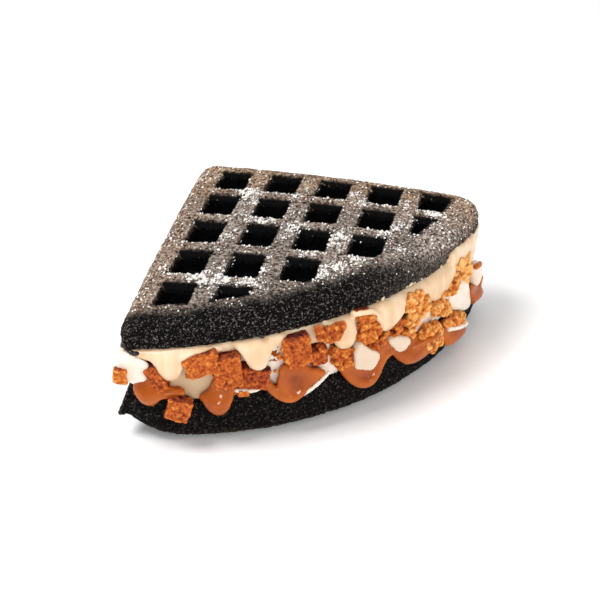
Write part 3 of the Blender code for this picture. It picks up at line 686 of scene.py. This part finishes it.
def floor_card():
    """A matt pale backdrop card."""
    return new_material("matt_backdrop_card", Roughness=0.9, Base_Color=linear("#FAFAFA"))[0]


def ride(piece, look, smooth=True):
    """Finishes a piece: its material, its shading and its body."""
    piece.data.materials.clear()
    piece.data.materials.append(look)
    for face in piece.data.polygons:
        face.use_smooth = smooth
    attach(piece, "root")


def from_corner(points):
    """Each point's distance from the corner of the quarter, and its angle in degrees."""
    along = points[:, 0] - CORNER[0]
    across = CORNER[1] - points[:, 1]
    return np.hypot(along, across), np.degrees(np.arctan2(across, along))


def pocket_place(points):
    """Each point's place across the nearest pocket, and whether that pocket is one of the plate's."""
    centres = (np.floor(points[:, :2] / PITCH) + 0.5) * PITCH
    distance, _ = from_corner(points)
    nearest, _ = from_corner(centres + (-POCKET_HALF, POCKET_HALF))
    first = (points[:, 0] > FIRST_POCKET[0] - PITCH / 2) & (points[:, 1] < FIRST_POCKET[1] + PITCH / 2)
    real = first & (distance < FIELD + 1.0) & (nearest < FIELD - LEAST_POCKET)
    return (points[:, :2] - centres).T, real


def sag(points):
    """How far the upper waffle's top lies above its level, at each place in millimetres."""
    along = points[:, 0] - CORNER[0]
    across = CORNER[1] - points[:, 1]
    twist = TWIST * (along - CUT_BACK) * (across - CUT_BACK)
    dome = DOME * ((along - MIDDLE) ** 2 + (across - MIDDLE) ** 2)
    return (twist - dome) * MM - SLOPE * (along + across - 2 * MIDDLE)


def below_top(points):
    """How deep each point lies below the upper waffle's top, in millimetres."""
    return TOP_LEVEL + sag(points) - points[:, 2]


def powder_on(points):
    """How thick the dusting sugar lies at each point of the top face."""
    lying = np.zeros(len(points))
    for x, y, reach, thick in POWDER:
        apart = np.hypot(points[:, 0] - x, points[:, 1] - y) / reach
        lying = np.maximum(lying, thick * np.exp(-apart * apart))
    return 0.95 * lying * (0.6 + 1.2 * slow_noise(points, 1.2, 3))


def baked_waffle(node, name, *shapes):
    """A waffle with its crumb: a fine skin round the model's form, roughened by grains and pores."""
    piece = join(cad_copy(node, name), *shapes)
    one_skin(piece, WAFFLE_SKIN, smoothed=2)
    relief(piece, "slow swell", "CLOUDS", 7.0, 0.5)
    relief(piece, "crumb", "CLOUDS", 1.0, 0.5, noise_depth=1)
    relief(piece, "pores", "VORONOI", 1.3, 0.34, level=0.35)
    # How hollow each point is; the materials paint this as shade in pits and light on bumps
    store(piece, "hollow", hollows(piece, 3))
    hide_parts(node)
    return piece


def worn_ribs(piece):
    """Rounds each rib off towards the pocket in front of it. Returns where that was done."""
    points = points_of(piece)
    (aside_x, aside_y), real = pocket_place(points)
    depth = below_top(points)
    cells = np.floor(points[:, 0] / PITCH) * 100 + np.floor(points[:, 1] / PITCH)
    inner = (from_corner(points)[0] < FIELD - 2.0) & (np.abs(aside_x) < 4.0) & (aside_y > 2.0)
    sunk_cells = np.unique(cells[inner & (depth > POCKET_DEEP)])
    share = np.clip((aside_y - RIB_START) / RIB_ROUND, 0.0, 1.0)
    worn = real & np.isin(cells, sunk_cells) & (aside_y > RIB_START) & (depth < 2.0)
    drop = RIB_DROP * (1.0 - share * share) * step(POCKET_HALF + 0.6 - np.abs(aside_x), 0.0, 1.2)
    drop = np.where(worn, drop, 0.0)
    points[:, 2] -= drop
    move_points(piece, points)
    return drop


def pocket_shade(points, normals, worn):
    """Painted shade in the pockets, at each point: it starts lower on the walls that face right, to the
    light.
    """
    (aside_x, aside_y), real = pocket_place(points)
    near_pocket = np.maximum(np.abs(aside_x), np.abs(aside_y)) + 0.35 * slow_noise(points, 1.1, 7)
    past_lip = below_top(points) + 0.7 * step(POCKET_HALF + 0.15 - near_pocket, 0.0, 0.4)
    lit_wall = step(normals[:, 0], 0.3, 0.8)
    painted_pocket_shade = step((past_lip - 0.2 - 1.0 * lit_wall) / (0.8 + 2.4 * lit_wall), 0.0, 1.0)
    return np.where(real & ((near_pocket < POCKET_HALF + 0.5) | (worn > 0.15)), painted_pocket_shade, 0.0)


def dust_on(points, normals, painted_pocket_shade):
    """How thick pale dust lies: on what faces up, as far as the round edge and over it at the right."""
    distance, angle = from_corner(points)
    upward = step(normals[:, 2], -0.1, 0.5)
    edge = DUST_REACH + DUST_WIDER * step(angle, 46.0, 20.0) + 1.6 * slow_noise(points, 5.0, 1)
    dust = upward * (1.0 - painted_pocket_shade) * step(edge + 3.5 - distance, 0.0, 7.5)
    dust *= np.where(below_top(points) < 6.0, 1.0, 0.0)
    return dust + 0.3 * (1.0 - painted_pocket_shade) * step(angle, 48.0, 22.0) * step(distance, 86.0, 92.0)


def upper_waffle():
    """The upper waffle, browner along its straight sides, with a pale line on its pockets' front lips.

    Its pockets are painted dark, as shade.
    """
    piece = baked_waffle("waffle_top", "upper_waffle")
    worn = worn_ribs(piece)
    points, normals = points_of(piece), normals_of(piece)
    painted_pocket_shade = pocket_shade(points, normals, worn)
    dust = dust_on(points, normals, painted_pocket_shade)
    patchy = 0.82 + 0.3 * slow_noise(points, 9.0, 2)
    (aside_x, aside_y), real = pocket_place(points)
    # A pale line along the front lip of each pocket
    near_lip = (aside_y < -POCKET_HALF + 0.2) & (aside_y > -POCKET_HALF - 1.0) & (np.abs(aside_x) < 5.6)
    pale_front_lips = np.where(real & near_lip, 0.32, 0.0) * (0.5 + slow_noise(points, 1.6, 5))
    along, across = points[:, 0] - CORNER[0], CORNER[1] - points[:, 1]
    toast = 0.15 + step(across, 34.0, 4.0) + 0.6 * step(along, 22.0, 2.0)
    store(piece, "dust", np.clip(dust * patchy, 0.0, 1.0))
    store(piece, "toast", np.clip(toast, 0.0, 1.0))
    store(piece, "powder", np.maximum(powder_on(points), pale_front_lips) * dust)
    # The deep value is the pockets' painted shade
    store(piece, "deep", painted_pocket_shade)
    ride(piece, cocoa_crumb("cocoa_waffle_crumb", "#120F0E", "#6F6865"))
    return piece


def torn_lip():
    """The thin lip that flares from the lower waffle at its left tip, torn when the plate was cut."""
    piece = start(bpy.ops.mesh.primitive_cube_add, size=MM)
    for vert in piece.data.vertices:
        left, front, top = vert.co.x < 0, vert.co.y < 0, vert.co.z > 0
        x = (-36.6 if left else -34.6) if top else (-42.0 if left else -36.6)
        y = -55.9 if front else -51.0
        vert.co = Vector((x, y, 20.2 if top else (7.6 if left else 9.0))) * MM
    return piece


def lower_waffle():
    """The lower waffle, its left tip drawn in at the foot, with a trace of dust along its foot."""
    piece = baked_waffle("waffle_bottom", "lower_waffle", torn_lip())
    points = points_of(piece)
    x, y, z = points.T
    tip = step(y, -30.0, -52.0) * step(x, -20.0, -34.0) * step(z, 9.0, 3.0)
    points[:, 0] += TIP_DRAWN_IN * tip
    points[:, 2] = np.maximum(points[:, 2], 0.0)
    move_points(piece, points)
    store(piece, "dust", 0.12 * step(points[:, 2], 4.0, 0.0))
    for name, value in (("deep", 0.0), ("toast", 1.0), ("powder", 0.0)):
        store(piece, name, np.full(len(points), value))
    ride(piece, cocoa_crumb("cocoa_waffle_crumb_lower", "#0B0908", "#4E4641"))


def rounded(outline):
    """Cuts the corners off an outline twice, so that it runs smoothly."""
    for _ in range(2):
        after = np.roll(outline, -1, axis=0)
        outline = np.stack((outline * 0.75 + after * 0.25, outline * 0.25 + after * 0.75), 1).reshape(-1, 2)
    return outline


def within(flat, outline):
    """Whether each flat point lies inside the outline, and how far it is from the outline."""
    starts, ends = outline, np.roll(outline, -1, axis=0)
    run = ends - starts
    x, y = flat[:, :1], flat[:, 1:]
    crossed = (starts[:, 1] > y) != (ends[:, 1] > y)
    slope = run[:, 0] / np.where(np.abs(run[:, 1]) < 1e-9, 1e-9, run[:, 1])
    crossed &= x < starts[:, 0] + (y - starts[:, 1]) * slope
    share = ((flat[:, None] - starts) * run).sum(2) / (run ** 2).sum(1)
    foot = starts + share.clip(0, 1)[..., None] * run
    return crossed.sum(1) % 2 == 1, np.linalg.norm(flat[:, None] - foot, axis=2).min(1)


def on_round(turn, distance, *heights):
    """Places at these turns and distances from the corner, with their heights."""
    return np.stack((CORNER[0] + distance * np.cos(turn), CORNER[1] - distance * np.sin(turn), *heights), 1)


def pool(outline, front, swell, soft, hung=False, scoop=0.0, droop=0.0):
    """Sauce lying on the round edge, inside an outline of angles and heights.

    It swells over its outline by so much, within so many millimetres, and a scoop sinks its middle.
    A droop thickens its lower end, as in a hanging drop. Where it hangs from the upper waffle, it
    draws in under the edge of that waffle.
    """
    drawn = rounded(np.array([(-math.radians(angle) * front, height) for angle, height in outline]))
    low, high = drawn.min(0), drawn.max(0)
    columns, rows = [int(count) for count in np.ceil((high - low) / POOL_STEP)]
    piece = start(bpy.ops.mesh.primitive_grid_add, x_subdivisions=columns, y_subdivisions=rows, size=MM)
    flat = low + (points_of(piece)[:, :2] + 0.5) * (high - low)
    inner, apart = within(flat, drawn)
    deep = np.where(inner, apart, -apart) + POOL_SPREAD
    turn = -flat[:, 0] / front
    up = (flat[:, 1] - low[1]) / (high[1] - low[1])
    drop = droop * np.exp(-((up - DROP_AT) / DROP_WIDE) ** 2)
    distance = front + (swell + drop) * np.sqrt(1 - (1 - np.clip(deep / soft, 0, 1)) ** 2)
    distance -= scoop * step(deep, soft * 0.6, soft * 1.8)
    height = flat[:, 1].copy()
    if hung:
        under = TOP_LEVEL + sag(on_round(turn, UPPER_EDGE)) - UPPER_THICK
        below = np.clip((under - height + HUNG_OVERLAP) / HUNG_FADE, 0, 1)
        height = np.minimum(height, under + HUNG_OVERLAP)
        distance = HUNG_BACK + (distance - HUNG_BACK) * np.sqrt(1 - (1 - below) ** 2)
    move_points(piece, on_round(turn, distance, height))
    for group in (piece.data.edges, piece.data.polygons):
        group.foreach_set("select", np.zeros(len(group), bool))
    piece.data.vertices.foreach_set("select", deep <= 0)
    bpy.ops.object.mode_set(mode="EDIT")
    bpy.ops.mesh.select_mode(type="VERT")
    bpy.ops.mesh.delete(type="VERT")
    bpy.ops.object.mode_set(mode="OBJECT")
    shape(piece, "SOLIDIFY", thickness=POOL_DEPTH * MM, offset=-1.0)
    return piece


def pools(outlines, **form):
    """A pool of the same form for each outline."""
    return [pool(outline, **form) for outline in outlines]


def lip(thick, *path):
    """A rounded lip or strand of sauce along a path of polar places."""
    curve = bpy.data.curves.new("lip", "CURVE")
    curve.dimensions = "3D"
    curve.bevel_depth = thick / 2 * MM
    curve.bevel_resolution = 3
    curve.use_fill_caps = True
    spline = curve.splines.new("NURBS")
    spline.points.add(len(path) - 1)
    spline.use_endpoint_u = True
    spline.order_u = 4
    for point, spot in zip(spline.points, path):
        point.co = (*place(*spot), 1.0)
    choose(new_object("lip", curve))
    bpy.ops.object.convert(target="MESH")
    return bpy.context.object


def ball(angle, distance, height, wide, deep, tall, roll=0.0):
    """A rounded swell of cream, sauce or chocolate at a polar place."""
    piece = start(bpy.ops.mesh.primitive_uv_sphere_add, segments=24, ring_count=16, radius=0.5 * MM)
    sized = facing(angle, roll) @ Matrix.Diagonal((wide, deep, tall, 1.0))
    piece.data.transform(Matrix.Translation(place(angle, distance, height)) @ sized)
    return piece


def tuck(piece, high, reach):
    """Draws back what stands out further from the corner than a reach, up to a height.

    Near the left tip, what stands out past the straight side is drawn back too.
    """
    for vert in piece.data.vertices:
        x, y, z = vert.co / MM
        distance = math.hypot(x - CORNER[0], y - CORNER[1])
        if 0.0 < z < high and distance > reach:
            share = reach / distance
            x, y = CORNER[0] + (x - CORNER[0]) * share, CORNER[1] + (y - CORNER[1]) * share
        vert.co = Vector((max(x, SIDE_REACH) if y < LEFT_TIP else x, y, z)) * MM


def poured(node, name, shapes, smoothed, high, reach):
    """A soft filling: the model's form, with its pools and lips, melted into one smooth skin.

    Up to a height, the model's own edge is drawn back to a reach, behind the shapes.
    """
    piece = cad_copy(node, name)
    tuck(piece, high, reach)
    piece = join(piece, *shapes)
    one_skin(piece, SAUCE_SKIN, smoothed)
    grow(piece, FILLING_SWELL)
    shape(piece, "DECIMATE", ratio=FILLING_KEPT)
    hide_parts(node)
    return piece


def sauce():
    """The bands behind the biscuits, four drips, a wide one right of them, and a collar over the rim."""
    shapes = pools(SAUCE_BANDS, front=95.4, swell=0.8, soft=3.0, hung=True)
    shapes += pools(SAUCE_DRIPS[:4], front=97.8, swell=0.6, soft=3.6, hung=True, droop=1.0)
    shapes += pools(SAUCE_DRIPS[4:5], front=97.0, swell=0.9, soft=3.0, hung=True)
    shapes += pools(SAUCE_DRIPS[5:], front=97.0, swell=0.9, soft=3.0)
    shapes += [lip(*path) for path in SAUCE_STRANDS]
    shapes += [ball(*spot, size * 1.6, size, size) for *spot, size in EDGE_BEADS]
    piece = poured("cream_sauce", "white_chocolate_sauce", shapes, smoothed=9, high=50.0, reach=94.0)
    relief(piece, "soft folds", "CLOUDS", 7.0, 0.6)
    ride(piece, ivory_sauce())


def caramel():
    """Two drops at the left, two scooped lips in the middle, and the pools at the right."""
    shapes = pools(CARAMEL_POOLS[:2], front=97.6, swell=0.8, soft=4.4, droop=2.4)
    shapes += pools(CARAMEL_POOLS[2:4], front=98.2, swell=1.1, soft=2.6, scoop=0.55)
    shapes += pools(CARAMEL_POOLS[4:], front=97.7, swell=0.8, soft=4.2, droop=2.0)
    shapes += [lip(*path) for path in CARAMEL_LIPS]
    piece = poured("caramel", "caramel_sauce", shapes, smoothed=9, high=50.0, reach=96.0)
    # How hollow each point is, which the material paints as shade and light
    store(piece, "hollow", hollows(piece, 12))
    ride(piece, soft_caramel())


def cream():
    """Pools between the biscuits, lobes at both ends and patches, tinted where sauce mixed in.

    At the left, where the cream lies recessed under the sauce and biscuits, the darker beige is painted
    shade.
    """
    shapes = pools(CREAM_POOLS[1:9], front=95.6, swell=0.8, soft=2.4)
    shapes += pools(CREAM_POOLS[9:], front=97.0, swell=0.8, soft=2.4)
    shapes += pools(CREAM_POOLS[:1], front=97.4, swell=1.4, soft=3.0)
    shapes += pools(CREAM_PATCHES, front=99.8, swell=0.2, soft=1.2)
    shapes += [ball(*swell) for swell in CREAM_SWELLS]
    shapes += [lip(*path) for path in CREAM_LIPS]
    piece = poured("white_cream", "whipped_cream", shapes, smoothed=6, high=32.0, reach=95.4)
    points = points_of(piece)
    distance, angle = from_corner(points)
    # Painted shade: the cream recessed under the sauce and biscuits at the left turns darker beige. The
    # patches over the caramel get half that beige as a tint where sauce mixed in.
    left = step(angle, 71.0, 73.0) * step(angle, 82.5, 81.5) * step(points[:, 2], 31.0, 28.0)
    patch = step(angle, 34.0, 35.0) * step(angle, 49.0, 48.0) * step(distance, 98.6, 99.4)
    store(piece, "beige", left + 0.5 * patch)
    ride(piece, white_cream())


def chip(size, turn, centre, random):
    """A small uneven cube, its corners moved at random, at a place and in a direction."""
    piece = start(bpy.ops.mesh.primitive_cube_add, size=MM)
    for vert in piece.data.vertices:
        vert.co = Vector([value * (1.0 + UNEVEN * (random.random() - 0.5)) for value in vert.co])
    piece.data.transform(Matrix.Translation(centre) @ turn @ Matrix.Diagonal((*size, 1.0)))
    return piece


def block(angle, distance, height, wide, deep, tall, roll, seed):
    """A rough block of biscuit at a polar place, with chips standing out of its faces."""
    random = np.random.default_rng(seed)
    turn = facing(angle, roll)
    size = np.array((wide, deep, tall))
    centre = place(angle, distance, height)
    pieces = [chip(size, turn, centre, random)]
    shape(pieces[0], "BEVEL", width=0.12 * min(size) * MM, segments=2)
    for _ in range(BLOCK_CHIPS):
        aside = turn.to_3x3() @ Vector((random.random(3) - 0.5) * size * 0.62) * MM
        pieces.append(chip(size * (0.36 + 0.12 * random.random(3)), turn, centre + aside, random))
    return join(*pieces)


def cluster(node, distance, *lumps, seed):
    """Biscuit crumbs that cling together: an uneven cube for each lump, round the model's form."""
    core = cad_copy(node, "core")
    grow(core, -0.7)
    random = np.random.default_rng(seed)
    pieces = []
    for angle, height, size in lumps:
        turn = Matrix.Rotation(random.random() * 3, 4, random.random(3) - 0.5)
        pieces.append(chip((size * 0.92,) * 3, turn, place(angle, distance, height), random))
        shape(pieces[-1], "BEVEL", width=0.2 * size * MM, segments=2)
    return join(core, join(*pieces))


def side_piece(node, seed):
    """A biscuit on a straight side: the model's form, with a rough block and chips at its corners."""
    piece = cad_copy(node, "side_piece")
    points = points_of(piece)
    low, high = points.min(0), points.max(0)
    grow(piece, -0.8)
    random = np.random.default_rng(seed)
    middle = Vector((low + high) / 2) * MM
    turn = Matrix.Rotation(1.2 * (random.random() - 0.5), 4, random.random(3) - 0.5)
    rough = chip((high - low) * (0.66 + 0.14 * random.random(3)), turn, middle, random)
    shape(rough, "BEVEL", width=0.8 * MM, segments=2)
    piece = join(piece, rough)
    for corner in random.permutation(8)[:SIDE_CHIPS]:
        way = np.array([1 if corner & bit else -1 for bit in (1, 2, 4)])
        size = (high - low) * (0.3 + 0.14 * random.random(3))
        aside = turn.to_3x3() @ Vector(way * ((high - low) * 0.44 - size / 2)) * MM
        piece = join(piece, chip(size, turn, middle + aside, random))
    return piece


def biscuit(seed, look, *nodes):
    """One biscuit piece: broken crumb with torn pits and a darker baked face."""
    number = int(nodes[0][-2:])
    if number in BLOCKS:
        piece = block(*BLOCKS[number], seed)
    elif number in CLUSTERS:
        piece = cluster(nodes[0], *CLUSTERS[number], seed=seed)
    else:
        piece = side_piece(nodes[0], seed)
    piece.name = "broken_" + nodes[0]
    one_skin(piece, BISCUIT_SKIN)
    relief(piece, "torn lumps", "VORONOI", 2.6, 0.9, level=0.22, weight_1=-1.0, weight_2=1.0)
    relief(piece, "uneven crumb", "CLOUDS", 2.2, 0.8)
    relief(piece, "fine crumb", "CLOUDS", 0.75, 0.46, noise_depth=1)
    # How hollow each point is, painted as shade in hollows and light on edges, plus each biscuit's own tone
    store(piece, "hollow", hollows(piece, 5) + TONES_AND_SHADE.get(number, 0.0) - 0.08)
    uneven = 0.85 + 0.8 * slow_noise(points_of(piece), 2.6, seed)
    crust = step(normals_of(piece)[:, 2], 0.3, 0.65) * uneven * (0.35 if number in CLUSTERS else 1.0)
    store(piece, "baked", np.clip(crust, 0.0, 1.0))
    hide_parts(*nodes)
    ride(piece, look)


def biscuits(look):
    """Every biscuit piece. The first one stands for two nodes of the model, which are one angled piece."""
    joined = ("biscuit_03", "biscuit_04")
    biscuit(3, look, *joined)
    for seed, node in enumerate(sorted(name for name in NODES if name.startswith("biscuit_"))):
        if node not in joined:
            biscuit(seed, look, node)


def small_pieces(crumb_look):
    """The dark smear and crumb of chocolate on the upper waffle's edge, and loose biscuit crumbs."""
    smear = join(*[ball(*spot) for spot in CHOCOLATE_SPOTS])
    smear.name = "chocolate_smear"
    one_skin(smear, BISCUIT_SKIN, smoothed=3)
    relief(smear, "uneven crumb", "CLOUDS", 2.2, 0.8)
    ride(smear, dark_chocolate())
    crumbs = join(*[block(*spot, CRUMB_SEED + index) for index, spot in enumerate(CRUMBS)])
    crumbs.name = "loose_biscuit_crumbs"
    one_skin(crumbs, CRUMB_SKIN)
    relief(crumbs, "fine crumb", "CLOUDS", 0.7, 0.4, noise_depth=1)
    # How hollow each point is, painted as shade and light by the crumb's material
    store(crumbs, "hollow", hollows(crumbs, 5))
    store(crumbs, "baked", np.zeros(len(crumbs.data.vertices)))
    ride(crumbs, crumb_look)


def loose_sugar(host):
    """Grains of sugar on the waffle: small uneven bodies of eight faces, where powder and dust lie."""
    random = np.random.default_rng(GRAIN_SEED)
    points, normals = points_of(host), normals_of(host)
    weight = (np.clip(stored(host, "powder"), 0, 1) ** 1.5 + 0.015 * stored(host, "dust")).astype(float)
    chosen = random.choice(len(points), GRAINS, p=weight / weight.sum())
    corners = np.array([(1, 0, 0), (0, 1, 0), (-1, 0, 0), (0, -1, 0), (0, 0, 1), (0, 0, -1)], float)
    sides = np.array([
        (0, 1, 4), (1, 2, 4), (2, 3, 4), (3, 0, 4), (1, 0, 5), (2, 1, 5), (3, 2, 5), (0, 3, 5),
    ])
    least, greatest = GRAIN_SIZES
    size = least + (greatest - least) * random.random(GRAINS) ** 2
    uneven = 1.0 + 0.35 * random.standard_normal((GRAINS, len(corners), 1)).clip(-1.2, 1.2)
    turns = random.random((GRAINS, 3)) * 2 * math.pi
    turns[:, 1:] *= GRAIN_TILT
    forms = corners[None] * uneven * size[:, None, None] / 2
    forms[:, :, 2] *= GRAIN_FLATNESS
    for axis, other, turn in ((0, 1, turns[:, 0]), (0, 2, turns[:, 1]), (1, 2, turns[:, 2])):
        cosine, sine = np.cos(turn)[:, None], np.sin(turn)[:, None]
        first, second = forms[:, :, axis].copy(), forms[:, :, other].copy()
        forms[:, :, axis] = first * cosine - second * sine
        forms[:, :, other] = first * sine + second * cosine
    aside = (random.random((GRAINS, 3)) - 0.5) * WAFFLE_SKIN
    out = normals[chosen]
    centres = points[chosen] + aside * (1 - np.abs(out)) + out * size[:, None] * GRAIN_OUT
    verts = ((forms + centres[:, None]) * MM).reshape(-1, 3)
    faces = (sides[None] + np.arange(GRAINS)[:, None, None] * len(corners)).reshape(-1, 3)
    mesh = bpy.data.meshes.new("dusting_sugar")
    mesh.from_pydata(verts.tolist(), [], faces.tolist())
    ride(new_object("dusting_sugar", mesh), dusting_sugar(), smooth=False)


def stage():
    """A plain pale floor."""
    floor = start(bpy.ops.mesh.primitive_plane_add, size=FLOOR_SIZE)
    floor.name = "floor"
    floor.data.materials.append(floor_card())


def studio():
    """An even white sky, and square soft lamps that point at the food."""
    world = bpy.data.worlds.new("studio")
    world.use_nodes = True
    sky = world.node_tree.nodes["Background"]
    sky.inputs["Color"].default_value = linear("#FFFFFF")
    sky.inputs["Strength"].default_value = SKY
    bpy.context.scene.world = world
    for name, spot, aim, size, power in LAMPS:
        light = bpy.data.lights.new(name, "AREA")
        light.shape = "SQUARE"
        light.size = size
        light.energy = power
        holder = new_object(name, light)
        holder.location = spot
        holder.rotation_euler = (Vector(aim) - Vector(spot)).to_track_quat("-Z", "Y").to_euler()


def camera():
    """The camera, at the photograph's angle."""
    data = bpy.data.cameras.new("camera")
    data.lens = LENS
    data.sensor_width = SENSOR
    holder = new_object("camera", data)
    back, right = Vector(CAMERA_BACK), Vector(CAMERA_RIGHT)
    turned = Matrix((right, back.cross(right), back)).transposed().to_4x4()
    holder.matrix_world = Matrix.Translation(CAMERA_PLACE) @ turned
    bpy.context.scene.camera = holder


bpy.context.scene.view_settings.view_transform = "Standard"
camera()
studio()
stage()
upper = upper_waffle()
lower_waffle()
sauce()
caramel()
cream()
crumb_look = biscuit_crumb()
biscuits(crumb_look)
small_pieces(crumb_look)
loose_sugar(upper)
